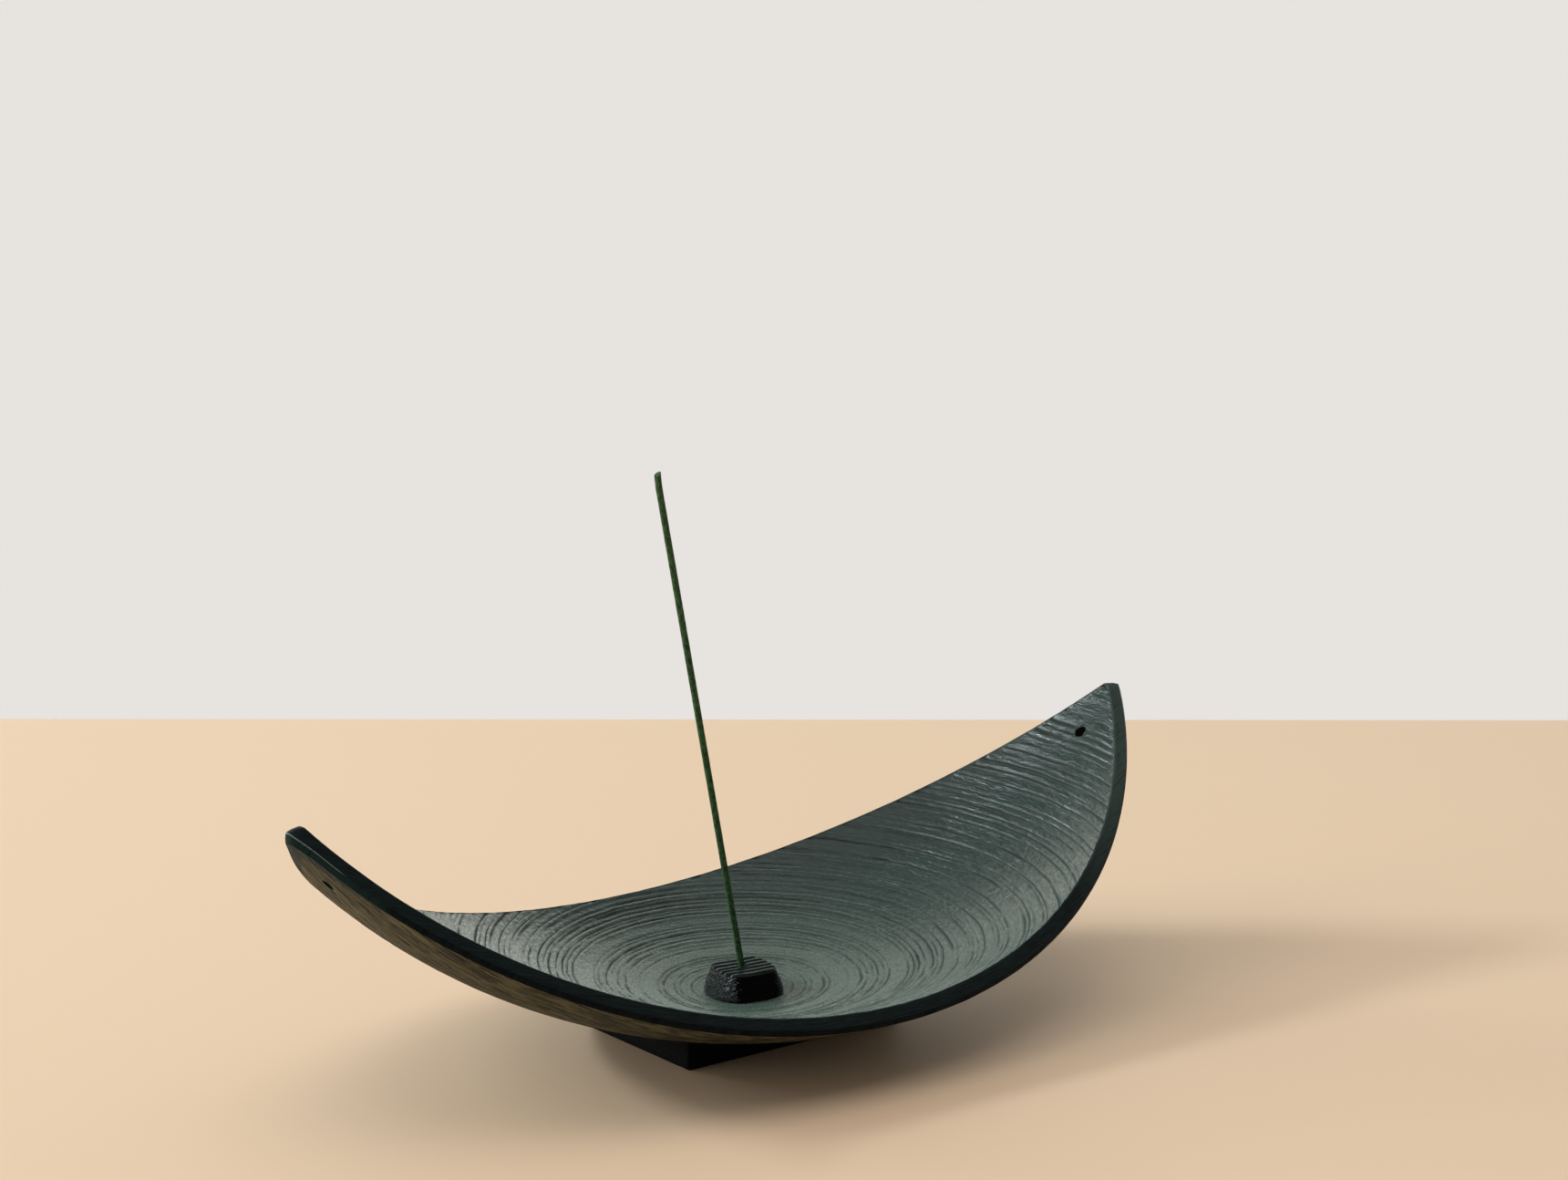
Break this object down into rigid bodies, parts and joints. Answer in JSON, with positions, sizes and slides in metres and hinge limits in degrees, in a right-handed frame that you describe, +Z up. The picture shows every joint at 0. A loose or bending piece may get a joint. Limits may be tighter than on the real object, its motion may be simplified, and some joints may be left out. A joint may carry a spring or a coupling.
{
  "type": "incense burner",
  "caption": "Boat-shaped wooden incense dish with pointed upturned tips on a rectangular foot, with a loose domed block that holds a leaning incense stick.",
  "frame": {"origin": "on the surface that the foot stands on, under the middle of the dish", "axes": "+X along the dish from tip to tip, +Y across it, +Z up"},
  "size_m": [0.25, 0.1236, 0.1407],
  "materials": {
    "dish_wood": "green-black stain over brushed growth rings, satin",
    "foot_wood": "black stain, satin",
    "holder_wood": "black stain over brushed grain, satin",
    "incense": "pressed green incense paste, matte"
  },
  "bodies": {
    "dish": {"dish": "dish_wood", "foot": "foot_wood"},
    "holder": {"stick_holder": "holder_wood"},
    "stick": {"incense_stick": "incense"}
  },
  "joints": [
    {"name": "holder_lift", "type": "slide", "parent": "dish", "child": "holder", "axis": [0, 0, 1], "range_m": [0, 0.06]},
    {"name": "stick_pull", "type": "slide", "parent": "holder", "child": "stick", "axis": [-0.1932, -0.0159, 0.981], "range_m": [0, 0.015]}
  ]
}
